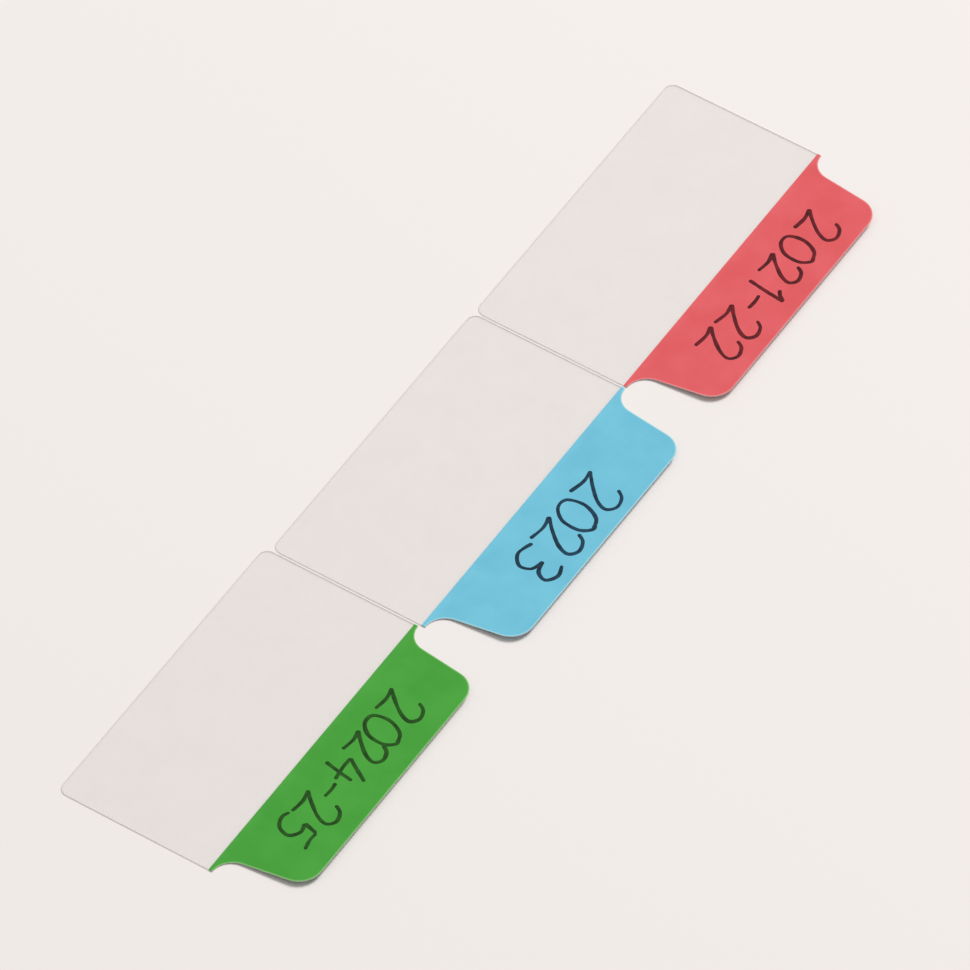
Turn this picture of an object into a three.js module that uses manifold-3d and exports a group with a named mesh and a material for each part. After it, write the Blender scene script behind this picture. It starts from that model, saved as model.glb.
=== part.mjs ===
// A set of three sticky index tabs in a row, as they stand out along an edge that they mark.
// Millimetres. +X is the way the flags are read, +Y points from the strips out to the flags, +Z is up.
// The origin is the centre of the set's footprint, on the surface that the strips are stuck to.

import * as THREE from "three";
import { mergeVertices } from "three/addons/utils/BufferGeometryUtils.js";
import Module from "manifold-3d";

// The clear film, and the opaque colour on the flag's face, which laps a little over the crease.
const filmThickness = 0.12;
const colourThickness = 0.04;
const colourLap = 0.6;

// The adhesive strip, from the crease back.
const stripWidth = 50.8;
const stripDepth = 25.4;
const stripCornerRadius = 1.5;

// The flag, from the crease outwards. Its sides start at the strip's corners in a hollow shoulder,
// lean in by the side angle and end in rounded corners.
const flagDepth = 12.7;
const flagSideAngle = THREE.MathUtils.degToRad(8);
const flagCornerRadius = 3.5;
const shoulderRadius = 3.2;

// The flag springs up a little from a soft crease.
const flagTilt = THREE.MathUtils.degToRad(3);
const creaseRadius = 12;
const creaseSteps = 4;

// The row of tabs: the gap between neighbouring strips, and each tab's colour and how much further
// out it was stuck than the first one placed, the green.
const stripGap = 0.4;
const tabs = [
  { name: "red", colour: "#e06266", standsOut: 1.0 },
  { name: "blue", colour: "#75c3d8", standsOut: 0.9 },
  { name: "green", colour: "#4ca33e", standsOut: 0 },
];

// Points to a quarter turn on every rounded corner.
const arcSteps = 8;

const wasm = await Module();
wasm.setup();

// A shape through the given corners, each rounded to its own radius. A radius is limited to what
// the shorter of the two edges beside it can hold.
function roundedShape(corners) {
  const shape = new THREE.Shape();
  corners.forEach((corner, i) => {
    const before = corners.at(i - 1).point;
    const after = corners[(i + 1) % corners.length].point;
    const back = before.clone().sub(corner.point);
    const ahead = after.clone().sub(corner.point);
    const room = Math.min(back.length(), ahead.length());
    back.normalize();
    ahead.normalize();

    const halfAngle = Math.acos(THREE.MathUtils.clamp(back.dot(ahead), -1, 1)) / 2;
    const radius = Math.min(corner.radius, room * Math.tan(halfAngle));
    const start = back.clone().multiplyScalar(radius / Math.tan(halfAngle)).add(corner.point);
    const end = ahead.clone().multiplyScalar(radius / Math.tan(halfAngle)).add(corner.point);
    const centre = back.add(ahead).normalize();
    centre.multiplyScalar(radius / Math.sin(halfAngle)).add(corner.point);

    const clockwise = ahead.cross(start.clone().sub(corner.point)) < 0;
    const startAngle = start.sub(centre).angle();
    const endAngle = end.sub(centre).angle();
    shape.absarc(centre.x, centre.y, radius, startAngle, endAngle, clockwise);
  });
  shape.closePath();
  return shape;
}

// The die line of one tab, seen from above, with the crease on Y = 0. The foot of the flag's side is
// where the shoulder's rounding starts exactly at the strip's corner.
function dieLine() {
  const side = stripWidth / 2;
  const foot = side - shoulderRadius * Math.tan((Math.PI / 2 - flagSideAngle) / 2);
  const reach = flagDepth * Math.cos(flagTilt);
  const tip = foot - flagDepth * Math.tan(flagSideAngle);
  const rightHalf = [
    [side, -stripDepth, stripCornerRadius],
    [side, 0, 0],
    [foot, 0, shoulderRadius],
    [tip, reach, flagCornerRadius],
  ];
  const leftHalf = rightHalf.map(([x, y, radius]) => [-x, y, radius]).reverse();
  return roundedShape(
    [...rightHalf, ...leftHalf].map(([x, y, radius]) => ({ point: new THREE.Vector2(x, y), radius })),
  );
}

// The film's side view: the line that starts on the strip, some way back from the crease, and runs
// round the crease and up the flag, at a given height above the underside. Points are (Y, Z).
function sideLine(height, wayBack) {
  const bendRadius = creaseRadius - height;
  const line = [new THREE.Vector2(-wayBack, height)];
  for (let step = 0; step <= creaseSteps; step += 1) {
    const angle = (flagTilt * step) / creaseSteps;
    line.push(
      new THREE.Vector2(bendRadius * Math.sin(angle), creaseRadius - bendRadius * Math.cos(angle)),
    );
  }
  const up = new THREE.Vector2(Math.cos(flagTilt), Math.sin(flagTilt));
  const pastTip = line.at(-1).clone().addScaledVector(up, flagDepth);
  return [...line, pastTip];
}

// A three.js geometry as a solid that can be cut, and back again.
function solidOf(geometry) {
  geometry.deleteAttribute("normal");
  geometry.deleteAttribute("uv");
  const merged = mergeVertices(geometry);
  return new wasm.Manifold(
    new wasm.Mesh({
      numProp: 3,
      vertProperties: merged.attributes.position.array,
      triVerts: new Uint32Array(merged.index.array),
    }),
  );
}

function geometryOf(solid) {
  const mesh = solid.getMesh();
  const geometry = new THREE.BufferGeometry();
  geometry.setAttribute("position", new THREE.BufferAttribute(mesh.vertProperties, 3));
  geometry.setIndex(new THREE.BufferAttribute(mesh.triVerts, 1));
  geometry.computeVertexNormals();
  return geometry;
}

// A sheet as wide as the strip that follows the side line between two heights, cut to the die line.
function dieCutSheet(lowHeight, highHeight, wayBack) {
  const section = new THREE.Shape([
    ...sideLine(lowHeight, wayBack),
    ...sideLine(highHeight, wayBack).reverse(),
  ]);
  const sheet = new THREE.ExtrudeGeometry(section, { depth: stripWidth, bevelEnabled: false });
  sheet.translate(0, 0, -stripWidth / 2);
  sheet.applyMatrix4(
    new THREE.Matrix4().makeBasis(
      new THREE.Vector3(0, 1, 0),
      new THREE.Vector3(0, 0, 1),
      new THREE.Vector3(1, 0, 0),
    ),
  );

  const cutter = new THREE.ExtrudeGeometry(dieLine(), {
    depth: stripDepth,
    bevelEnabled: false,
    curveSegments: arcSteps,
  });
  cutter.translate(0, 0, -stripDepth / 2);
  return geometryOf(solidOf(sheet).intersect(solidOf(cutter)));
}

// The whole film of one tab, strip and flag in one piece.
function film(name) {
  const material = new THREE.MeshStandardMaterial({
    color: "#e6dedc",
    roughness: 0.45,
    metalness: 0,
    transparent: true,
    opacity: 0.45,
  });
  const mesh = new THREE.Mesh(dieCutSheet(0, filmThickness, stripDepth), material);
  mesh.name = `${name}_film`;
  return mesh;
}

// The opaque colour on the flag, from just behind the crease to the tip.
function colourFace(name, colour) {
  const material = new THREE.MeshStandardMaterial({ color: colour, roughness: 0.5, metalness: 0 });
  const faceTop = filmThickness + colourThickness;
  const mesh = new THREE.Mesh(dieCutSheet(filmThickness, faceTop, colourLap), material);
  mesh.name = `${name}_colour_face`;
  return mesh;
}

// The row, with its footprint centred on the origin.
const tabPitch = stripWidth + stripGap;
const furthestOut = Math.max(...tabs.map((tab) => tab.standsOut));
const nearestIn = Math.min(...tabs.map((tab) => tab.standsOut));
const footprintFront = furthestOut + flagDepth * Math.cos(flagTilt);
const footprintBack = nearestIn - stripDepth;

const group = new THREE.Group();
tabs.forEach(({ name, colour, standsOut }, i) => {
  const tab = new THREE.Group();
  tab.position.x = (i - (tabs.length - 1) / 2) * tabPitch;
  tab.position.y = standsOut - (footprintFront + footprintBack) / 2;
  tab.add(film(name), colourFace(name, colour));
  group.add(tab);
});

export default group;
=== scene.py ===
# %% [markdown]
# # Three sticky index tabs
# A sticky index tab is one small die-cut piece of clear polyester film. Most of it is a strip with
# adhesive underneath, which is pressed down along an edge. The rest is a flag that stands out past
# the edge, printed with an opaque colour and written on with a pen.
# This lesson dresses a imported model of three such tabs. The model is the fixed frame: it says where
# each tab lies and how large it is, and every piece made here is fitted to it.

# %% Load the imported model
import math
import random

import bpy
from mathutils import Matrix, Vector


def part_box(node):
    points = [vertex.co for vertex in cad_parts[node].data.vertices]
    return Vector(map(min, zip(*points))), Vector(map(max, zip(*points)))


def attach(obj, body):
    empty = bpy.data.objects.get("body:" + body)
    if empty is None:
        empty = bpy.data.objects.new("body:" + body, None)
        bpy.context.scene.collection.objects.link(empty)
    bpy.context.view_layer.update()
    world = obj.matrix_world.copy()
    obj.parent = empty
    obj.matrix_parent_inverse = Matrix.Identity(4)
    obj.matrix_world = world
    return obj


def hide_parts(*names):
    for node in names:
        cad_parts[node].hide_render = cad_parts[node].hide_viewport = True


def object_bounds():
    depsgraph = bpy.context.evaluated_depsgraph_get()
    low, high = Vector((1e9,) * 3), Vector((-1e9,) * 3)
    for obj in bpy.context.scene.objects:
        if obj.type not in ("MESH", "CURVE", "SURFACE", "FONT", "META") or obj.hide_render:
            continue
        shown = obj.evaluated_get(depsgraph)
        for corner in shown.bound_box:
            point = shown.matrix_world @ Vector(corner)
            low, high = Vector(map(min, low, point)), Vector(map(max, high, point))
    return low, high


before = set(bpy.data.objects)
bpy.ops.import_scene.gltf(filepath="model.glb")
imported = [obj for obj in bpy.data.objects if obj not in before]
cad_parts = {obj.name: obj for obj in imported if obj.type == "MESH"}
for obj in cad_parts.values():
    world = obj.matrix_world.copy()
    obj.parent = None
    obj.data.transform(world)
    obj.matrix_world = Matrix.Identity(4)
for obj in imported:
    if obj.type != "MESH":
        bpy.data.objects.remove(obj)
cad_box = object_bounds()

print("frame nodes:", sorted(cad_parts))

# %% [markdown]
# ## Sizes
# Blender works in metres here, and a tab is best thought of in millimetres, so every length is
# written as a number of MM. The film's own sizes are written down once. What can be measured on the
# frame, such as each strip's width and where its crease lies, is taken from the boxes of its nodes.

# %% Sizes of the film and places of the tabs
MM = 0.001

FILM_THICKNESS = 0.12 * MM
COLOUR_THICKNESS = 0.04 * MM
COLOUR_LAP = 0.6 * MM
FLAG_DEPTH = 12.7 * MM
FLAG_TILT = math.radians(3)
CREASE_RADIUS = 12 * MM
SIDE_ANGLE = math.radians(8)
STRIP_CORNER_RADIUS = 1.5 * MM
SHOULDER_RADIUS = 3.2 * MM
FLAG_CORNER_RADIUS = 3.5 * MM

tabs = []
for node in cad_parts:
    if node.endswith("_film"):
        low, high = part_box(node)
        crease_y = high.y - FLAG_DEPTH * math.cos(FLAG_TILT)
        tabs.append({
            "name": node.removesuffix("_film"),
            "place": Vector(((low.x + high.x) / 2, crease_y, 0)),
            "width": high.x - low.x,
            "strip_depth": crease_y - low.y,
        })
tabs.sort(key=lambda tab: tab["place"].x)
for tab in tabs:
    print(tab["name"], "strip", round(tab["width"] / MM, 2), "x",
          round(tab["strip_depth"] / MM, 2), "mm")

# %% [markdown]
# ## Camera
# The photograph was taken from far away with a long lens, from about fifty degrees above the
# horizontal, so lines that are parallel stay nearly parallel. The camera here stands in the same
# direction and at the same distance. Only the lens is longer, so that the tabs fill the frame.
# The aim is worked out by laying the corners of the model's box on the camera's own two axes.

# %% Camera at the photograph's viewing angle
IMAGE_SIDE = 970
PHOTO_FOCAL_PIXELS = 4500
PHOTO_DISTANCE = 1.84
CLOSER = 2.95
AZIMUTH = math.radians(123.1)
ELEVATION = math.radians(50.7)
SENSOR_MM = 36


def direction(azimuth, elevation):
    """The unit vector that points from the scene towards a viewer at these angles."""
    flat = math.cos(elevation)
    return Vector((math.sin(azimuth) * flat, -math.cos(azimuth) * flat, math.sin(elevation)))


def face_along(thing, back):
    """Turns a camera or lamp so that it looks against the vector back, upright."""
    thing.rotation_euler = back.to_track_quat("Z", "Y").to_euler()


towards_camera = direction(AZIMUTH, ELEVATION)
camera_right = Vector((math.cos(AZIMUTH), math.sin(AZIMUTH), 0))
camera_up = towards_camera.cross(camera_right)
corners = [Vector((x, y, z)) for x in (cad_box[0].x, cad_box[1].x)
           for y in (cad_box[0].y, cad_box[1].y) for z in (cad_box[0].z, cad_box[1].z)]
across = [corner.dot(camera_right) for corner in corners]
upward = [corner.dot(camera_up) for corner in corners]
aim = camera_right * (min(across) + max(across)) / 2 + camera_up * (min(upward) + max(upward)) / 2

camera_data = bpy.data.cameras.new("camera")
camera_data.sensor_width = SENSOR_MM
camera_data.lens = SENSOR_MM * PHOTO_FOCAL_PIXELS * CLOSER / IMAGE_SIDE
camera = bpy.data.objects.new("camera", camera_data)
camera.location = aim + towards_camera * PHOTO_DISTANCE
face_along(camera, towards_camera)
bpy.context.scene.collection.objects.link(camera)
bpy.context.scene.camera = camera
print("lens", round(camera_data.lens), "mm, aimed at", [round(v / MM, 1) for v in aim], "mm")

# %% [markdown]
# ## Colours and nodes
# Colours are written as the hex values a picture editor shows. Blender's shaders want linear
# values, so one function converts them. A second function adds a node of any kind to any tree: it
# sets the node's own settings, then fills each input with a plain value or links it to what it is
# given, so that a material or a geometry tree below reads as a list of steps.
# A Mix node holds sockets of the same names for every kind of data, so the ones for colours are
# picked by their number.

# %% Two helpers
FACTOR, COLOUR_A, COLOUR_B = 0, 6, 7
MIXED_COLOUR = 2


def linear(hex_colour):
    """An sRGB hex colour, such as #4ca33e, as the linear RGBA that sockets hold."""
    channels = [int(hex_colour[i:i + 2], 16) / 255 for i in (1, 3, 5)]
    return (*[c / 12.92 if c <= 0.04045 else ((c + 0.055) / 1.055) ** 2.4 for c in channels], 1)


def add(tree, kind, inputs=None, **settings):
    """Adds a node. Inputs are given by name or number, as a value, a socket, or a node, whose first
    output is then meant."""
    made = tree.nodes.new(kind)
    for name, value in settings.items():
        setattr(made, name, value)
    for key, value in (inputs or {}).items():
        if isinstance(value, bpy.types.Node):
            value = value.outputs[0]
        if isinstance(value, bpy.types.NodeSocket):
            tree.links.new(value, made.inputs[key])
        else:
            made.inputs[key].default_value = value
    return made


print("green", [round(v, 3) for v in linear("#4ca33e")])

# %% [markdown]
# ## The clear film
# The film is biaxially drawn polyester with a matte, slightly milky face. It lets nearly all of the
# light through, so that what lies under it shows, a little greyed, and the adhesive underneath is
# never perfectly even. It could be made as a refracting solid, but at an eighth of a millimetre the
# bending of the light can't be seen, so Alpha gives the see-through part. A line of sight passes
# both of the film's faces, so a low alpha is enough. The milkiness is a slow noise of a few
# millimetres. A noise seldom leaves the middle of its range, so only its values from the low to the
# high one below are stretched over the haze. A finer noise roughens the surface: the real matte
# grain is some hundredths of a millimetre, and it is drawn coarser here so that it shows at all.
# Along the cut edge the film is made denser, in a thin line. The material draws it from two
# attributes that the geometry below stores: how far a point lies from the cut, and whether it is on
# the cut wall.

# %% Matte polyester film
POLYESTER_IOR = 1.57
ADHESIVE_PATCH = 7 * MM
NOISE_LOW, NOISE_HIGH = 0.3, 0.7
THIN_HAZE, THICK_HAZE = 0.077, 0.101
THIN_TONE, THICK_TONE = "#d6d0cc", "#e0dad6"
RIM_WIDTH = 0.3 * MM
RIM_HAZE = 0.10
WALL_HAZE = 0.75
GRAIN = 0.3 * MM
GRAIN_HEIGHT = 0.004 * MM
GRAIN_STRENGTH = 0.35
FILM_SMOOTHEST, FILM_ROUGHEST = 0.34, 0.5


def matte_polyester_film():
    material = bpy.data.materials.new("matte_polyester_film")
    material.use_nodes = True
    tree = material.node_tree
    shader = tree.nodes["Principled BSDF"]
    shader.inputs["IOR"].default_value = POLYESTER_IOR
    place = add(tree, "ShaderNodeTexCoord").outputs["Object"]

    patches = add(tree, "ShaderNodeTexNoise", {"Vector": place, "Scale": 1 / ADHESIVE_PATCH,
                                               "Detail": 3})
    haze = add(tree, "ShaderNodeMapRange", {"Value": patches, "From Min": NOISE_LOW,
                                            "From Max": NOISE_HIGH, "To Min": THIN_HAZE,
                                            "To Max": THICK_HAZE})
    from_edge = add(tree, "ShaderNodeAttribute", attribute_name="from_edge").outputs["Fac"]
    rim = add(tree, "ShaderNodeMapRange", {"Value": from_edge, "From Max": RIM_WIDTH,
                                           "To Min": RIM_HAZE, "To Max": 0})
    face_haze = add(tree, "ShaderNodeMath", {0: haze, 1: rim}, operation="ADD")
    cut_wall = add(tree, "ShaderNodeAttribute", attribute_name="cut_wall").outputs["Fac"]
    alpha = add(tree, "ShaderNodeMix", {"Factor": cut_wall, "A": face_haze, "B": WALL_HAZE})
    tree.links.new(alpha.outputs[0], shader.inputs["Alpha"])
    tone = add(tree, "ShaderNodeMix", {FACTOR: patches, COLOUR_A: linear(THIN_TONE),
                                       COLOUR_B: linear(THICK_TONE)}, data_type="RGBA")
    tree.links.new(tone.outputs[MIXED_COLOUR], shader.inputs["Base Color"])

    grain = add(tree, "ShaderNodeTexNoise", {"Vector": place, "Scale": 1 / GRAIN, "Detail": 2})
    roughness = add(tree, "ShaderNodeMapRange", {"Value": grain, "To Min": FILM_SMOOTHEST,
                                                 "To Max": FILM_ROUGHEST})
    tree.links.new(roughness.outputs[0], shader.inputs["Roughness"])
    bump = add(tree, "ShaderNodeBump", {"Height": grain, "Strength": GRAIN_STRENGTH,
                                        "Distance": GRAIN_HEIGHT})
    tree.links.new(bump.outputs[0], shader.inputs["Normal"])
    return material


clear_film = matte_polyester_film()
print("made", clear_film.name)

# %% [markdown]
# ## The printed flags
# The colour on a flag is an opaque ink, screen printed on the film and cured. It is even to the eye,
# with a faint cloudiness where the ink lies thicker and a fine satin grain that lets a pen grip.
# Along the cut edge runs a thin pale line, partly the pale cut of the ink and film and partly a
# painted highlight of the edge catching light. The three flags share one recipe and differ only in
# colour, so one function makes all three.

# %% Satin print
PRINT_IOR = 1.5
PRINT_SPECULAR = 0.3
CLOUD = 5 * MM
CLOUD_LOW, CLOUD_HIGH = 0.35, 0.65
# Width and strength of the pale line along the cut, partly a painted highlight of the edge.
CUT_AND_HIGHLIGHT_WIDTH = 0.24 * MM
CUT_AND_HIGHLIGHT_STRENGTH = 0.8
PRINT_GRAIN = 0.28 * MM
PRINT_GRAIN_HEIGHT = 0.012 * MM
PRINT_GRAIN_STRENGTH = 0.6
PRINT_SMOOTHEST, PRINT_ROUGHEST = 0.38, 0.54
flag_colours = {"red": "#e45d62", "blue": "#72c5dc", "green": "#44a433"}
cloud_colours = {"red": "#de5559", "blue": "#6abed7", "green": "#3c9d2c"}
# Pale colours along the cut: partly the cut ink, partly a painted highlight of the edge.
cut_and_highlight_colours = {"red": "#f39a9c", "blue": "#b3e3ee", "green": "#8fd07c"}


def satin_screen_print(name):
    material = bpy.data.materials.new(f"satin_screen_print_{name}")
    material.use_nodes = True
    tree = material.node_tree
    shader = tree.nodes["Principled BSDF"]
    shader.inputs["IOR"].default_value = PRINT_IOR
    shader.inputs["Specular IOR Level"].default_value = PRINT_SPECULAR
    place = add(tree, "ShaderNodeTexCoord").outputs["Object"]

    clouds = add(tree, "ShaderNodeTexNoise", {"Vector": place, "Scale": 1 / CLOUD, "Detail": 4})
    thickness = add(tree, "ShaderNodeMapRange", {"Value": clouds, "From Min": CLOUD_LOW,
                                                 "From Max": CLOUD_HIGH})
    cloudy = add(tree, "ShaderNodeMix", {FACTOR: thickness, COLOUR_A: linear(flag_colours[name]),
                                         COLOUR_B: linear(cloud_colours[name])}, data_type="RGBA")
    from_edge = add(tree, "ShaderNodeAttribute", attribute_name="from_edge").outputs["Fac"]
    # The pale line along the cut, partly a painted highlight of the edge catching light.
    cut_and_highlight_line = add(tree, "ShaderNodeMapRange", {"Value": from_edge, "From Max": CUT_AND_HIGHLIGHT_WIDTH,
                                                "To Min": CUT_AND_HIGHLIGHT_STRENGTH, "To Max": 0})
    colour = add(tree, "ShaderNodeMix", {FACTOR: cut_and_highlight_line, COLOUR_A: cloudy.outputs[MIXED_COLOUR],
                                         COLOUR_B: linear(cut_and_highlight_colours[name])}, data_type="RGBA")
    tree.links.new(colour.outputs[MIXED_COLOUR], shader.inputs["Base Color"])

    grain = add(tree, "ShaderNodeTexNoise", {"Vector": place, "Scale": 1 / PRINT_GRAIN,
                                             "Detail": 3})
    roughness = add(tree, "ShaderNodeMapRange", {"Value": grain, "To Min": PRINT_SMOOTHEST,
                                                 "To Max": PRINT_ROUGHEST})
    tree.links.new(roughness.outputs[0], shader.inputs["Roughness"])
    bump = add(tree, "ShaderNodeBump", {"Height": grain, "Strength": PRINT_GRAIN_STRENGTH,
                                        "Distance": PRINT_GRAIN_HEIGHT})
    tree.links.new(bump.outputs[0], shader.inputs["Normal"])
    return material


prints = {tab["name"]: satin_screen_print(tab["name"]) for tab in tabs}
print("made", sorted(material.name for material in prints.values()))

# %% [markdown]
# ## The pen's ink
# The writing is fine permanent marker. Its dye lies in the print's grain as a thin dark film, so
# the flag's colour still tints it, and it shines no more than the print around it. Where the pen
# slowed down, at the ends of strokes, more ink ran out and the line is darker.

# %% Permanent marker
INK_ROUGHNESS = 0.45
INK_SPECULAR = 0.2
INK_FLOW = 1.1 * MM
FLOW_LOW, FLOW_HIGH = 0.35, 0.65
thin_ink = {"red": "#70131b", "blue": "#164059", "green": "#1f580b"}
pooled_ink = {"red": "#450b12", "blue": "#0d2839", "green": "#133d04"}


def permanent_marker(name):
    material = bpy.data.materials.new(f"permanent_marker_on_{name}")
    material.use_nodes = True
    tree = material.node_tree
    shader = tree.nodes["Principled BSDF"]
    shader.inputs["Roughness"].default_value = INK_ROUGHNESS
    shader.inputs["Specular IOR Level"].default_value = INK_SPECULAR
    place = add(tree, "ShaderNodeTexCoord").outputs["Object"]
    flow = add(tree, "ShaderNodeTexNoise", {"Vector": place, "Scale": 1 / INK_FLOW, "Detail": 3})
    uneven = add(tree, "ShaderNodeMapRange", {"Value": flow, "From Min": FLOW_LOW,
                                              "From Max": FLOW_HIGH})
    pool = add(tree, "ShaderNodeAttribute", attribute_name="pen_rest").outputs["Fac"]
    wetness = add(tree, "ShaderNodeMath", {0: uneven, 1: pool}, operation="MAXIMUM")
    colour = add(tree, "ShaderNodeMix", {FACTOR: wetness, COLOUR_A: linear(thin_ink[name]),
                                         COLOUR_B: linear(pooled_ink[name])}, data_type="RGBA")
    tree.links.new(colour.outputs[MIXED_COLOUR], shader.inputs["Base Color"])
    return material


inks = {tab["name"]: permanent_marker(tab["name"]) for tab in tabs}
print("made", sorted(material.name for material in inks.values()))

# %% [markdown]
# ## Geometry trees
# Film is cut flat and bent afterwards, and the trees below do the same: they make a piece flat,
# with X along the crease, Y out from the crease and Z up from the film's underside, and bend it
# last. A small function starts a tree with named inputs, and another runs a tree on an object,
# turns the result into a plain mesh and takes the modifier away again.

# %% Starting a tree and running it
SOCKETS = {float: "NodeSocketFloat", Vector: "NodeSocketVector",
           bpy.types.Material: "NodeSocketMaterial"}


def new_tree(name, **inputs):
    """A geometry tree with one geometry in and out, and an input for each given name and type."""
    tree = bpy.data.node_groups.new(name, "GeometryNodeTree")
    tree.interface.new_socket("Geometry", in_out="OUTPUT", socket_type="NodeSocketGeometry")
    tree.interface.new_socket("Geometry", in_out="INPUT", socket_type="NodeSocketGeometry")
    for title, kind in inputs.items():
        tree.interface.new_socket(title, in_out="INPUT", socket_type=SOCKETS[kind])
    return tree, tree.nodes.new("NodeGroupInput").outputs, tree.nodes.new("NodeGroupOutput").inputs


def grow(name, tree, values, start=None):
    """Runs a tree with these values on a mesh and returns an object that holds the plain result."""
    piece = bpy.data.objects.new(name, start or bpy.data.meshes.new(name))
    bpy.context.scene.collection.objects.link(piece)
    modifier = piece.modifiers.new("tree", "NODES")
    modifier.node_group = tree
    for socket in tree.interface.items_tree:
        if socket.in_out == "INPUT" and socket.name in values:
            modifier[socket.identifier] = values[socket.name]
    evaluated = piece.evaluated_get(bpy.context.evaluated_depsgraph_get())
    piece.data = bpy.data.meshes.new_from_object(evaluated)
    piece.data.name = name
    piece.modifiers.remove(modifier)
    return piece


# %% [markdown]
# ## Bending at the crease
# Everything on the tab bends together at the crease: the film, the print and the ink. So the bend
# is a tree of its own, used inside the others. A point behind the crease stays where it is. Past
# the crease the surface runs round an arc until it has turned by the tilt, and then straight on.
# A point that lies higher than the underside is on a tighter arc, which is what keeps the film's
# thickness true.

# %% The bend
def bend_tree():
    tree, given, out = new_tree("bend_at_crease", tilt=float, crease_radius=float)
    position = add(tree, "GeometryNodeInputPosition")
    flat = add(tree, "ShaderNodeSeparateXYZ", {0: position}).outputs
    turned = add(tree, "ShaderNodeMath", {0: flat["Y"], 1: given["crease_radius"]},
                 operation="DIVIDE")
    angle = add(tree, "ShaderNodeClamp", {"Value": turned, "Min": 0.0, "Max": given["tilt"]})
    arc = add(tree, "ShaderNodeMath", {0: given["crease_radius"], 1: given["tilt"]},
              operation="MULTIPLY")
    over = add(tree, "ShaderNodeMath", {0: flat["Y"], 1: arc}, operation="SUBTRACT")
    straight = add(tree, "ShaderNodeMath", {0: over, 1: 0.0}, operation="MAXIMUM")
    behind = add(tree, "ShaderNodeMath", {0: flat["Y"], 1: 0.0}, operation="MINIMUM")
    inner = add(tree, "ShaderNodeMath", {0: given["crease_radius"], 1: flat["Z"]},
                operation="SUBTRACT")

    sine = add(tree, "ShaderNodeMath", {0: angle}, operation="SINE")
    cosine = add(tree, "ShaderNodeMath", {0: angle}, operation="COSINE")
    arc_y = add(tree, "ShaderNodeMath", {0: inner, 1: sine, 2: behind}, operation="MULTIPLY_ADD")
    y = add(tree, "ShaderNodeMath", {0: straight, 1: cosine, 2: arc_y}, operation="MULTIPLY_ADD")
    drop = add(tree, "ShaderNodeMath", {0: inner, 1: cosine}, operation="MULTIPLY")
    arc_z = add(tree, "ShaderNodeMath", {0: given["crease_radius"], 1: drop}, operation="SUBTRACT")
    z = add(tree, "ShaderNodeMath", {0: straight, 1: sine, 2: arc_z}, operation="MULTIPLY_ADD")
    bent = add(tree, "ShaderNodeCombineXYZ", {"X": flat["X"], "Y": y, "Z": z})
    moved = add(tree, "GeometryNodeSetPosition", {"Geometry": given["Geometry"], "Position": bent})
    tree.links.new(moved.outputs[0], out[0])
    return tree


bend = bend_tree()
print("bend tree:", len(bend.nodes), "nodes")

# %% [markdown]
# ## Half of the die line
# The die that cuts a tab is a steel blade bent to the tab's outline. The outline is the same on the
# left and on the right, so only the right half is drawn: from the middle of the strip's rear edge,
# round its rear corner, up its side to the crease, in to the foot of the flag, round the hollow
# shoulder, and out to the flag's corner. An Index Switch holds the corners as a short list, and
# Fillet Curve rounds each one to its own radius. The two ends are dropped afterwards, because they
# lie on the tab's middle line, which is not an edge.

# %% The half die line
ARC_POINTS = 10
DIE_SIZES = ("half_width", "way_back", "rear_radius", "foot", "shoulder_radius", "tip",
             "flag_depth", "tip_radius")


def half_die_line_tree():
    tree, given, out = new_tree("half_die_line", **dict.fromkeys(DIE_SIZES, float))
    rear = add(tree, "ShaderNodeMath", {0: given["way_back"], 1: -1.0}, operation="MULTIPLY")
    corners = [
        (0.0, rear, None),
        (given["half_width"], rear, given["rear_radius"]),
        (given["half_width"], 0.0, None),
        (given["foot"], 0.0, given["shoulder_radius"]),
        (given["tip"], given["flag_depth"], given["tip_radius"]),
        (0.0, given["flag_depth"], None),
    ]
    number = add(tree, "GeometryNodeInputIndex")
    corner_point = add(tree, "GeometryNodeIndexSwitch", {"Index": number}, data_type="VECTOR")
    corner_radius = add(tree, "GeometryNodeIndexSwitch", {"Index": number}, data_type="FLOAT")
    for switch in (corner_point, corner_radius):
        for _ in corners[2:]:
            switch.index_switch_items.new()
    for i, (x, y, radius) in enumerate(corners):
        point = add(tree, "ShaderNodeCombineXYZ", {"X": x, "Y": y})
        tree.links.new(point.outputs[0], corner_point.inputs[i + 1])
        if radius:
            tree.links.new(radius, corner_radius.inputs[i + 1])

    dots = add(tree, "GeometryNodePoints", {"Count": len(corners), "Position": corner_point})
    sharp_line = add(tree, "GeometryNodePointsToCurves", {"Points": dots})
    rounded = add(tree, "GeometryNodeFilletCurve", {"Curve": sharp_line, "Count": ARC_POINTS,
                                                    "Radius": corner_radius, "Limit Radius": True},
                  mode="POLY")
    line_ends = add(tree, "GeometryNodeCurveEndpointSelection")
    side_line = add(tree, "GeometryNodeDeleteGeometry",
                    {"Geometry": rounded, "Selection": line_ends})
    tree.links.new(side_line.outputs[0], out[0])
    return tree


half_die_line = half_die_line_tree()
print("half die line tree:", len(half_die_line.nodes), "nodes")

# %% [markdown]
# ## A sheet woven from rows
# The outline could be filled with one many-sided face, but such a face can't bend. So the sheet is
# woven from rows: each point of the half line becomes one row of a grid, which runs from the point
# to its mirror image. Long straight stretches are cut into short steps first, so that no row is far
# from the next.

# %% The woven sheet
COLUMNS = 100


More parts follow.
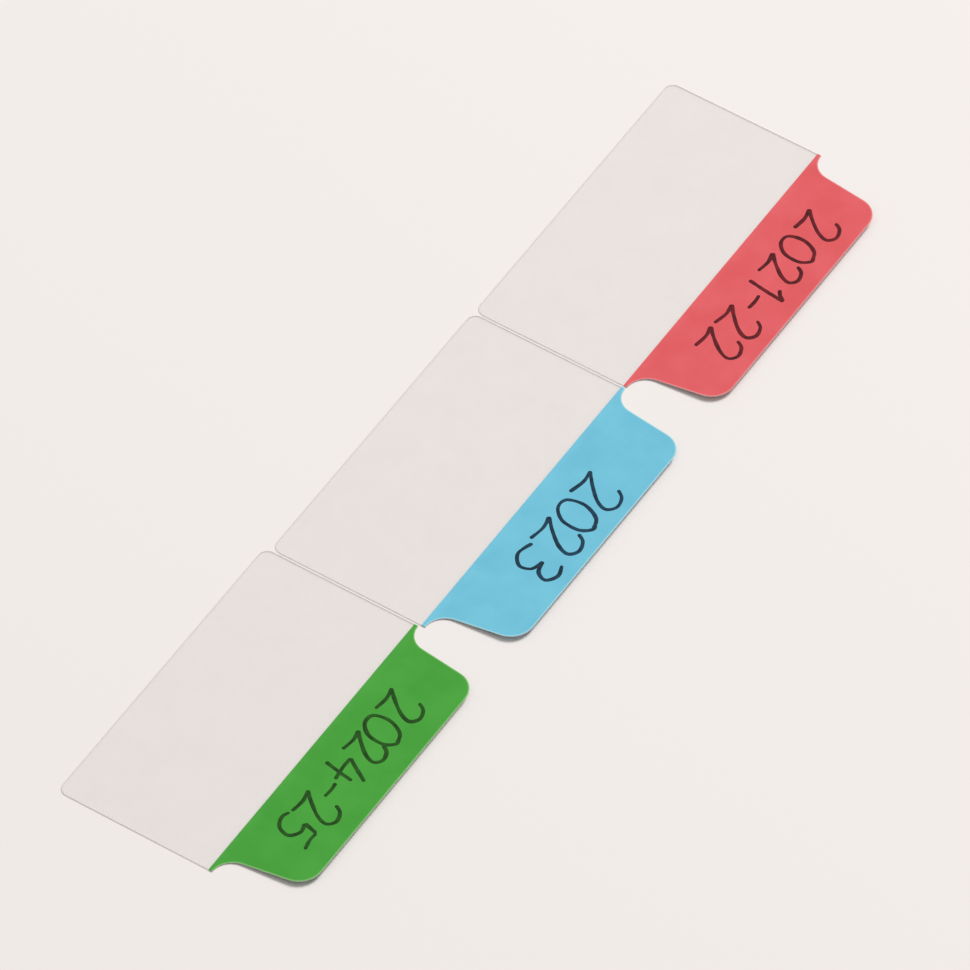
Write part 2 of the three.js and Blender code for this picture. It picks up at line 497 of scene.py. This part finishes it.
def woven_sheet_tree():
    tree, given, out = new_tree("woven_sheet", height=float, longest_step=float)
    number = add(tree, "GeometryNodeInputIndex")
    position = add(tree, "GeometryNodeInputPosition")
    following = add(tree, "FunctionNodeIntegerMath", {0: number, 1: 1}, operation="ADD")
    ahead = add(tree, "GeometryNodeFieldAtIndex", {"Index": following, "Value": position},
                data_type="FLOAT_VECTOR", domain="POINT")
    step = add(tree, "ShaderNodeVectorMath", {0: position, 1: ahead}, operation="DISTANCE")
    steps = add(tree, "ShaderNodeMath", {0: step.outputs["Value"], 1: given["longest_step"]},
                operation="DIVIDE")
    cuts = add(tree, "FunctionNodeFloatToInt", {0: steps}, rounding_mode="FLOOR")
    rail = add(tree, "GeometryNodeSubdivideCurve", {"Curve": given["Geometry"], "Cuts": cuts})

    rail_size = add(tree, "GeometryNodeAttributeDomainSize", {"Geometry": rail}, component="CURVE")
    rows = rail_size.outputs["Point Count"]
    grid = add(tree, "GeometryNodeMeshGrid", {"Vertices X": COLUMNS + 1, "Vertices Y": rows})
    row = add(tree, "FunctionNodeIntegerMath", {0: number, 1: rows}, operation="MODULO")
    column = add(tree, "FunctionNodeIntegerMath", {0: number, 1: rows}, operation="DIVIDE")
    rail_point = add(tree, "GeometryNodeSampleIndex",
                     {"Geometry": rail, "Value": position, "Index": row},
                     data_type="FLOAT_VECTOR", domain="POINT")
    rail_xy = add(tree, "ShaderNodeSeparateXYZ", {0: rail_point}).outputs
    side = add(tree, "ShaderNodeMapRange", {"Value": column, "From Max": COLUMNS,
                                            "To Min": -1, "To Max": 1})
    x = add(tree, "ShaderNodeMath", {0: rail_xy["X"], 1: side}, operation="MULTIPLY")
    woven = add(tree, "ShaderNodeCombineXYZ", {"X": x, "Y": rail_xy["Y"], "Z": given["height"]})
    sheet = add(tree, "GeometryNodeSetPosition", {"Geometry": grid, "Position": woven})
    tree.links.new(sheet.outputs[0], out[0])
    return tree


woven_sheet = woven_sheet_tree()
print("woven sheet tree:", len(woven_sheet.nodes), "nodes")

# %% [markdown]
# ## How far from the cut
# The materials draw a thin line along the cut edge, denser on the film and pale on the print, where
# it is partly a painted highlight, so each point of the sheet has to know how far it lies from the
# cut. Where a sheet ends without a cut, as the print does behind the crease, that edge doesn't count.
# So the sheet's border is separated, only the part past the place where the cut starts is kept, and
# Geometry Proximity measures from every point to that.
# An edge on the border has one face beside it and every other edge has two, so one and a half tells
# them apart.

# %% The distance from the cut
BETWEEN_ONE_AND_TWO = 1.5


def distance_from_cut_tree():
    tree, given, out = new_tree("distance_from_cut", cut_from=float)
    faces_beside = add(tree, "GeometryNodeInputMeshEdgeNeighbors")
    at_border = add(tree, "FunctionNodeCompare", {"A": faces_beside, "B": BETWEEN_ONE_AND_TWO},
                    operation="LESS_THAN")
    border = add(tree, "GeometryNodeSeparateGeometry",
                 {"Geometry": given["Geometry"], "Selection": at_border}, domain="EDGE")
    position = add(tree, "GeometryNodeInputPosition")
    y = add(tree, "ShaderNodeSeparateXYZ", {0: position}).outputs["Y"]
    is_cut = add(tree, "ShaderNodeMath", {0: y, 1: given["cut_from"]}, operation="GREATER_THAN")
    die_line = add(tree, "GeometryNodeSeparateGeometry",
                   {"Geometry": border, "Selection": is_cut}, domain="POINT")
    nearest = add(tree, "GeometryNodeProximity", {"Target": die_line}, target_element="EDGES")
    measured = add(tree, "GeometryNodeStoreNamedAttribute",
                   {"Geometry": given["Geometry"], "Name": "from_edge",
                    "Value": nearest.outputs["Distance"]}, data_type="FLOAT", domain="POINT")
    tree.links.new(measured.outputs[0], out[0])
    return tree


distance_from_cut = distance_from_cut_tree()
print("distance tree:", len(distance_from_cut.nodes), "nodes")

# %% [markdown]
# ## From a sheet to a film
# One more tree puts the steps together. The sheet is extruded to its thickness, the faces that this
# makes at the sides are marked as the cut wall, and a flipped copy of the sheet closes it from
# below, with the doubled points along the seam merged into one. Then the film is bent, put in its
# place and given its material. Faces that meet at a shallow angle are shaded smoothly, and the cut
# edge stays sharp, as the die leaves it.
# The same tree makes the print on the flag. It starts just behind the crease, without the strip's
# rounded corners, and lies at the height of the film's upper face.

# %% The die-cut film
SHARP_ANGLE = math.radians(30)


def die_cut_film_tree():
    tree, given, out = new_tree(
        "die_cut_film", **dict.fromkeys(DIE_SIZES, float), height=float, thickness=float,
        longest_step=float, fuse=float, cut_from=float, tilt=float, crease_radius=float,
        place=Vector, finish=bpy.types.Material)
    line = add(tree, "GeometryNodeGroup", {size: given[size] for size in DIE_SIZES},
               node_tree=half_die_line)
    woven = add(tree, "GeometryNodeGroup", {"Geometry": line, "height": given["height"],
                                            "longest_step": given["longest_step"]},
                node_tree=woven_sheet)
    sheet = add(tree, "GeometryNodeGroup", {"Geometry": woven, "cut_from": given["cut_from"]},
                node_tree=distance_from_cut)

    lift = add(tree, "ShaderNodeCombineXYZ", {"Z": given["thickness"]})
    raised = add(tree, "GeometryNodeExtrudeMesh",
                 {"Mesh": sheet, "Offset": lift, "Individual": False})
    walled = add(tree, "GeometryNodeStoreNamedAttribute",
                 {"Geometry": raised, "Name": "cut_wall", "Value": raised.outputs["Side"]},
                 data_type="FLOAT", domain="FACE")
    underside = add(tree, "GeometryNodeFlipFaces", {"Mesh": sheet})
    shell = add(tree, "GeometryNodeJoinGeometry", {"Geometry": underside})
    tree.links.new(walled.outputs[0], shell.inputs[0])
    closed = add(tree, "GeometryNodeMergeByDistance",
                 {"Geometry": shell, "Distance": given["fuse"]})

    bent = add(tree, "GeometryNodeGroup", {"Geometry": closed, "tilt": given["tilt"],
                                           "crease_radius": given["crease_radius"]}, node_tree=bend)
    placed = add(tree, "GeometryNodeTransform", {"Geometry": bent, "Translation": given["place"]})
    smooth = add(tree, "GeometryNodeSetShadeSmooth", {"Geometry": placed, "Shade Smooth": True})
    edge_angle = add(tree, "GeometryNodeInputMeshEdgeAngle")
    shallow = add(tree, "FunctionNodeCompare", {"A": edge_angle, "B": SHARP_ANGLE},
                  operation="LESS_THAN")
    shaded = add(tree, "GeometryNodeSetShadeSmooth", {"Geometry": smooth, "Shade Smooth": shallow},
                 domain="EDGE")
    whole = add(tree, "GeometryNodeRealizeInstances", {"Geometry": shaded})
    finished = add(tree, "GeometryNodeSetMaterial",
                   {"Geometry": whole, "Material": given["finish"]})
    tree.links.new(finished.outputs[0], out[0])
    return tree


die_cut_film = die_cut_film_tree()
print("die-cut film tree:", len(die_cut_film.nodes), "nodes")

# %% [markdown]
# ## The films and the prints
# Each tab gets its film, from the underside up, and its print on top. The print keeps a hair's
# breadth of air under it, because two faces in exactly the same place flicker in a render.
# The foot of the flag's side is where the shoulder's rounding starts exactly at the strip's corner,
# and the flag's tip follows from the side angle. The film is cut all round. The print's rear edge
# isn't cut, so for the print the cut starts half of the lap behind the crease.

# %% Films and prints of the three tabs
AIR = 0.01 * MM
LONGEST_STEP = 0.55 * MM
FUSE = 0.0004 * MM
pieces = []
for tab in tabs:
    foot = tab["width"] / 2 - SHOULDER_RADIUS * math.tan((math.pi / 2 - SIDE_ANGLE) / 2)
    flag_sizes = {
        "half_width": tab["width"] / 2, "foot": foot, "shoulder_radius": SHOULDER_RADIUS,
        "tip": foot - FLAG_DEPTH * math.tan(SIDE_ANGLE), "flag_depth": FLAG_DEPTH,
        "tip_radius": FLAG_CORNER_RADIUS, "tilt": FLAG_TILT, "crease_radius": CREASE_RADIUS,
        "place": tab["place"], "longest_step": LONGEST_STEP, "fuse": FUSE,
    }
    film = grow(f"{tab['name']}_tab_film", die_cut_film, {
        **flag_sizes, "way_back": tab["strip_depth"], "rear_radius": STRIP_CORNER_RADIUS,
        "height": 0.0, "thickness": FILM_THICKNESS, "cut_from": -2 * tab["strip_depth"],
        "finish": clear_film})
    colour = grow(f"{tab['name']}_tab_print", die_cut_film, {
        **flag_sizes, "way_back": COLOUR_LAP, "rear_radius": 0.0,
        "height": FILM_THICKNESS + AIR, "thickness": COLOUR_THICKNESS - AIR,
        "cut_from": -COLOUR_LAP / 2, "finish": prints[tab["name"]]})
    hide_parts(f"{tab['name']}_film")
    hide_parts(f"{tab['name']}_colour_face")
    pieces += [film, colour]
    for piece in (film, colour):
        print(piece.name, len(piece.data.polygons), "faces")

# %% [markdown]
# ## Handwritten numbers
# Each flag is labelled by hand, in figures about half as tall as the flag is deep. A figure is
# written down as the strokes of a pen in a box one unit high: a few points each, which a
# Catmull-Rom spline passes through smoothly. A stroke ends where the pen turns sharply, and the
# next one starts there. No hand repeats a figure exactly, so each one is leaned, scaled and
# shifted a little by a random generator with a fixed seed.

# %% The strokes of each figure
FIGURES = {
    "0": [[(0.36, 0.97), (0.12, 0.84), (0.01, 0.45), (0.12, 0.06), (0.36, 0.03), (0.55, 0.3),
           (0.54, 0.72), (0.37, 0.96), (0.24, 0.93)]],
    "1": [[(0.0, 0.74), (0.12, 0.84), (0.21, 1.0)], [(0.21, 1.0), (0.19, 0.5), (0.15, 0.0)]],
    "2": [[(0.02, 0.76), (0.12, 0.94), (0.34, 1.0), (0.5, 0.84), (0.44, 0.58), (0.22, 0.26),
           (0.0, 0.02)],
          [(0.0, 0.02), (0.26, 0.07), (0.6, 0.0)]],
    "3": [[(0.04, 0.9), (0.26, 1.0), (0.48, 0.86), (0.42, 0.63), (0.19, 0.54)],
          [(0.19, 0.54), (0.44, 0.47), (0.53, 0.22), (0.33, 0.01), (0.0, 0.09)]],
    "4": [[(0.32, 1.0), (0.16, 0.66), (0.0, 0.36)], [(0.0, 0.36), (0.28, 0.35), (0.62, 0.39)],
          [(0.45, 0.74), (0.42, 0.36), (0.37, -0.07)]],
    "5": [[(0.1, 0.95), (0.07, 0.75), (0.04, 0.56)],
          [(0.04, 0.56), (0.28, 0.62), (0.5, 0.42), (0.44, 0.12), (0.2, -0.01), (0.0, 0.07)],
          [(0.1, 0.95), (0.34, 0.94), (0.58, 1.0)]],
    "-": [[(0.0, 0.43), (0.2, 0.46), (0.42, 0.44)]],
}
LABELS = {
    "red": {"text": "2021-22", "wide": 29.8 * MM, "tall": 6.0 * MM, "base": 3.9 * MM,
            "shift": -0.7 * MM},
    "blue": {"text": "2023", "wide": 19.2 * MM, "tall": 6.8 * MM, "base": 3.8 * MM,
             "shift": -0.2 * MM},
    "green": {"text": "2024-25", "wide": 29.4 * MM, "tall": 6.0 * MM, "base": 3.1 * MM,
              "shift": 0.8 * MM},
}
LEAN = 0.10
WIDEN = 1.12
HAND_TURN = math.radians(4)
HAND_SCALE = 0.06
HAND_DRIFT = 0.25 * MM


def handwriting(text, wide, tall, base, shift, seed):
    """A mesh of pen strokes, as chains of edges, for a label centred on the flag."""
    hand = random.Random(seed)
    widths = [max(x for stroke in FIGURES[figure] for x, _ in stroke) * WIDEN * tall
              for figure in text]
    gap = (wide - sum(widths)) / (len(text) - 1)
    points, edges = [], []
    pen_x = shift - wide / 2
    for figure, width in zip(text, widths):
        turn = hand.uniform(-HAND_TURN, HAND_TURN)
        size = tall * (1 + hand.uniform(-HAND_SCALE, HAND_SCALE))
        drift = hand.uniform(-HAND_DRIFT, HAND_DRIFT)
        for stroke in FIGURES[figure]:
            edges += [(len(points) + i, len(points) + i + 1) for i in range(len(stroke) - 1)]
            for across_box, up_box in stroke:
                x = (WIDEN * across_box + LEAN * (up_box - 0.5)) * size
                y = up_box * size
                points.append((pen_x + x * math.cos(turn) - y * math.sin(turn),
                               base + drift + x * math.sin(turn) + y * math.cos(turn), 0))
        pen_x += width + gap
    mesh = bpy.data.meshes.new("strokes")
    mesh.from_pydata(points, edges, [])
    return mesh


print("figures drawn:", " ".join(sorted(FIGURES)))

# %% [markdown]
# ## The pen's path
# A pen line is a path with a width, so geometry trees are the natural way to draw it. The first one
# makes the path: it turns the chains of edges into smooth curves, divides them into short even
# steps, and lets them tremble a little, as a hand does. The tremble is a noise laid over the flag,
# and a noise is a fixed pattern, so every run writes the same line.

# %% The path of the pen
PATH_SIZES = ("pen_step", "tremble", "tremble_length")
NOISE_MIDDLE = (0.5, 0.5, 0.5)


def pen_path_tree():
    tree, given, out = new_tree("pen_path", **dict.fromkeys(PATH_SIZES, float))
    chains = add(tree, "GeometryNodeMeshToCurve", {"Mesh": given["Geometry"]})
    smooth = add(tree, "GeometryNodeCurveSplineType", {"Curve": chains}, spline_type="CATMULL_ROM")
    path = add(tree, "GeometryNodeResampleCurve", {"Curve": smooth, "Length": given["pen_step"]},
               mode="LENGTH")
    position = add(tree, "GeometryNodeInputPosition")
    scale = add(tree, "ShaderNodeMath", {0: 1.0, 1: given["tremble_length"]}, operation="DIVIDE")
    wander = add(tree, "ShaderNodeTexNoise", {"Vector": position, "Scale": scale}).outputs["Color"]
    centred = add(tree, "ShaderNodeVectorMath", {0: wander, 1: NOISE_MIDDLE}, operation="SUBTRACT")
    reach = add(tree, "ShaderNodeCombineXYZ", {"X": given["tremble"], "Y": given["tremble"]})
    tremble = add(tree, "ShaderNodeVectorMath", {0: centred, 1: reach}, operation="MULTIPLY")
    written = add(tree, "GeometryNodeSetPosition", {"Geometry": path, "Offset": tremble})
    tree.links.new(written.outputs[0], out[0])
    return tree


pen_path = pen_path_tree()
print("pen path tree:", len(pen_path.nodes), "nodes")

# %% [markdown]
# ## The pen's width
# The second tree gives the path its width and sweeps a round section along it. The width swells and
# thins with the pen's pressure, and closes in a half round at both ends. The tree also stores where
# the pen rested, at the ends of the strokes, for the ink's material to read.

# %% The width of the pen line
STROKE_SIZES = ("pen_width", "pressure_length", "pen_rest")
SECTION_SIDES = 12
THINNEST_END = 0.12
LIGHT_PRESSURE, HEAVY_PRESSURE = 0.8, 1.15


def pen_stroke_tree():
    tree, given, out = new_tree("pen_stroke", **dict.fromkeys(STROKE_SIZES, float))
    along = add(tree, "GeometryNodeSplineParameter").outputs["Length"]
    length = add(tree, "GeometryNodeSplineLength").outputs["Length"]
    left_over = add(tree, "ShaderNodeMath", {0: length, 1: along}, operation="SUBTRACT")
    from_end = add(tree, "ShaderNodeMath", {0: along, 1: left_over}, operation="MINIMUM")
    half_width = add(tree, "ShaderNodeMath", {0: given["pen_width"], 1: 0.5}, operation="MULTIPLY")
    inward = add(tree, "ShaderNodeMapRange", {"Value": from_end, "From Max": half_width,
                                              "To Min": 1, "To Max": 0})
    squared = add(tree, "ShaderNodeMath", {0: inward, 1: inward}, operation="MULTIPLY")
    rest = add(tree, "ShaderNodeMath", {0: 1.0, 1: squared}, operation="SUBTRACT")
    half_round = add(tree, "ShaderNodeMath", {0: rest}, operation="SQRT")
    end_shape = add(tree, "ShaderNodeMath", {0: half_round, 1: THINNEST_END}, operation="MAXIMUM")

    position = add(tree, "GeometryNodeInputPosition")
    scale = add(tree, "ShaderNodeMath", {0: 1.0, 1: given["pressure_length"]}, operation="DIVIDE")
    press = add(tree, "ShaderNodeTexNoise", {"Vector": position, "Scale": scale})
    pressure = add(tree, "ShaderNodeMapRange", {"Value": press, "From Min": NOISE_LOW,
                                                "From Max": NOISE_HIGH, "To Min": LIGHT_PRESSURE,
                                                "To Max": HEAVY_PRESSURE})
    pressed = add(tree, "ShaderNodeMath", {0: half_width, 1: pressure}, operation="MULTIPLY")
    width = add(tree, "ShaderNodeMath", {0: pressed, 1: end_shape}, operation="MULTIPLY")

    pooling = add(tree, "ShaderNodeMapRange", {"Value": from_end, "From Max": given["pen_rest"],
                                               "To Min": 1, "To Max": 0})
    marked = add(tree, "GeometryNodeStoreNamedAttribute",
                 {"Geometry": given["Geometry"], "Name": "pen_rest", "Value": pooling},
                 data_type="FLOAT", domain="POINT")
    section = add(tree, "GeometryNodeCurvePrimitiveCircle",
                  {"Resolution": SECTION_SIDES, "Radius": 1})
    swept = add(tree, "GeometryNodeCurveToMesh", {"Curve": marked, "Profile Curve": section,
                                                  "Scale": width, "Fill Caps": True})
    tree.links.new(swept.outputs[0], out[0])
    return tree


pen_stroke = pen_stroke_tree()
print("pen stroke tree:", len(pen_stroke.nodes), "nodes")

# %% [markdown]
# ## The ink on the flag
# The last tree lays the swept line down. The round section is flattened to the thickness of dried
# ink, laid on the flag's face, half sunk in the print, and bent and placed with everything else.

# %% The pen line's tree
def pen_line_tree():
    tree, given, out = new_tree(
        "pen_line", **dict.fromkeys(PATH_SIZES + STROKE_SIZES, float), ink_height=float,
        height=float, tilt=float, crease_radius=float, place=Vector, finish=bpy.types.Material)
    path = add(tree, "GeometryNodeGroup",
               {"Geometry": given["Geometry"], **{size: given[size] for size in PATH_SIZES}},
               node_tree=pen_path)
    swept = add(tree, "GeometryNodeGroup",
                {"Geometry": path, **{size: given[size] for size in STROKE_SIZES}},
                node_tree=pen_stroke)

    position = add(tree, "GeometryNodeInputPosition")
    round_xyz = add(tree, "ShaderNodeSeparateXYZ", {0: position}).outputs
    half_width = add(tree, "ShaderNodeMath", {0: given["pen_width"], 1: 0.5}, operation="MULTIPLY")
    flatness = add(tree, "ShaderNodeMath", {0: given["ink_height"], 1: half_width},
                   operation="DIVIDE")
    lying_z = add(tree, "ShaderNodeMath", {0: round_xyz["Z"], 1: flatness, 2: given["height"]},
                  operation="MULTIPLY_ADD")
    lying = add(tree, "ShaderNodeCombineXYZ", {"X": round_xyz["X"], "Y": round_xyz["Y"],
                                               "Z": lying_z})
    flattened = add(tree, "GeometryNodeSetPosition", {"Geometry": swept, "Position": lying})
    bent = add(tree, "GeometryNodeGroup", {"Geometry": flattened, "tilt": given["tilt"],
                                           "crease_radius": given["crease_radius"]}, node_tree=bend)
    placed = add(tree, "GeometryNodeTransform", {"Geometry": bent, "Translation": given["place"]})
    soft = add(tree, "GeometryNodeSetShadeSmooth", {"Geometry": placed})
    whole = add(tree, "GeometryNodeRealizeInstances", {"Geometry": soft})
    finished = add(tree, "GeometryNodeSetMaterial",
                   {"Geometry": whole, "Material": given["finish"]})
    tree.links.new(finished.outputs[0], out[0])
    return tree


pen_line = pen_line_tree()
print("pen line tree:", len(pen_line.nodes), "nodes")

# %% [markdown]
# ## Writing on the flags
# Three labels, one seed each, so that no two figures come out the same. The pen is a fine one, with
# a line a little over half a millimetre wide. Its ink dries to less than a hundredth of a
# millimetre, so the line lies on the print like a stain and hardly stands up from it.

# %% Writing on the three flags
PEN = {"pen_width": 0.58 * MM, "ink_height": 0.008 * MM, "pen_step": 0.08 * MM,
       "tremble": 0.07 * MM, "tremble_length": 1.6 * MM, "pressure_length": 2.5 * MM,
       "pen_rest": 0.6 * MM}

for number, tab in enumerate(tabs):
    strokes = handwriting(**LABELS[tab["name"]], seed=number)
    ink = grow(f"{tab['name']}_tab_writing", pen_line, {
        **PEN, "height": FILM_THICKNESS + COLOUR_THICKNESS, "tilt": FLAG_TILT,
        "crease_radius": CREASE_RADIUS, "place": tab["place"], "finish": inks[tab["name"]]},
        start=strokes)
    pieces.append(ink)
    print(ink.name, len(ink.data.polygons), "faces")

# %% [markdown]
# ## Light and floor
# The tabs lie on a plain pale floor under one large soft lamp, which stands far off, so that the
# floor is lit evenly, with a white surrounding that fills the shadows. The levels are set so that a
# surface shows about the colour that it is given. The floor is a hair's breadth lower than the
# films, for the same reason that the print keeps some air under it.

# %% Floor, lamp and world
FLOOR_SIDE = 4.0
FLOOR_Z = -0.02 * MM
FLOOR_COLOUR = "#f2ece9"
FLOOR_ROUGHNESS = 0.9
FLOOR_SPECULAR = 0.1
LAMP_SIDE = 1.28
LAMP_DISTANCE = 3.4
LAMP_WATTS = 94
LAMP_AZIMUTH = math.radians(-100)
LAMP_ELEVATION = math.radians(48)
WORLD_COLOUR = "#ffffff"
WORLD_LEVEL = 0.42

floor_mesh = bpy.data.meshes.new("floor")
half = FLOOR_SIDE / 2
floor_corners = [(-half, -half, FLOOR_Z), (half, -half, FLOOR_Z), (half, half, FLOOR_Z),
                 (-half, half, FLOOR_Z)]
floor_mesh.from_pydata(floor_corners, [], [(0, 1, 2, 3)])
floor = bpy.data.objects.new("floor", floor_mesh)
bpy.context.scene.collection.objects.link(floor)
matte_floor = bpy.data.materials.new("matte_floor")
matte_floor.use_nodes = True
floor_shader = matte_floor.node_tree.nodes["Principled BSDF"]
floor_shader.inputs["Base Color"].default_value = linear(FLOOR_COLOUR)
floor_shader.inputs["Roughness"].default_value = FLOOR_ROUGHNESS
floor_shader.inputs["Specular IOR Level"].default_value = FLOOR_SPECULAR
floor_mesh.materials.append(matte_floor)

lamp_data = bpy.data.lights.new("soft_lamp", "AREA")
lamp_data.size = LAMP_SIDE
lamp_data.energy = LAMP_WATTS
lamp = bpy.data.objects.new("soft_lamp", lamp_data)
towards_lamp = direction(LAMP_AZIMUTH, LAMP_ELEVATION)
lamp.location = aim + towards_lamp * LAMP_DISTANCE
face_along(lamp, towards_lamp)
bpy.context.scene.collection.objects.link(lamp)

world = bpy.data.worlds.new("white_room")
world.use_nodes = True
background = world.node_tree.nodes["Background"]
background.inputs["Color"].default_value = linear(WORLD_COLOUR)
background.inputs["Strength"].default_value = WORLD_LEVEL
bpy.context.scene.world = world
bpy.context.scene.view_settings.view_transform = "Standard"
print("lamp at", [round(v, 2) for v in lamp.location])

# %% [markdown]
# ## Riding on the body
# Every piece rides on the one body that the frame has, and the box of the plain model is printed.

# %% Ride and measure
for piece in pieces:
    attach(piece, "root")

print("cad box mm", [[round(v / MM, 3) for v in corner] for corner in cad_box])
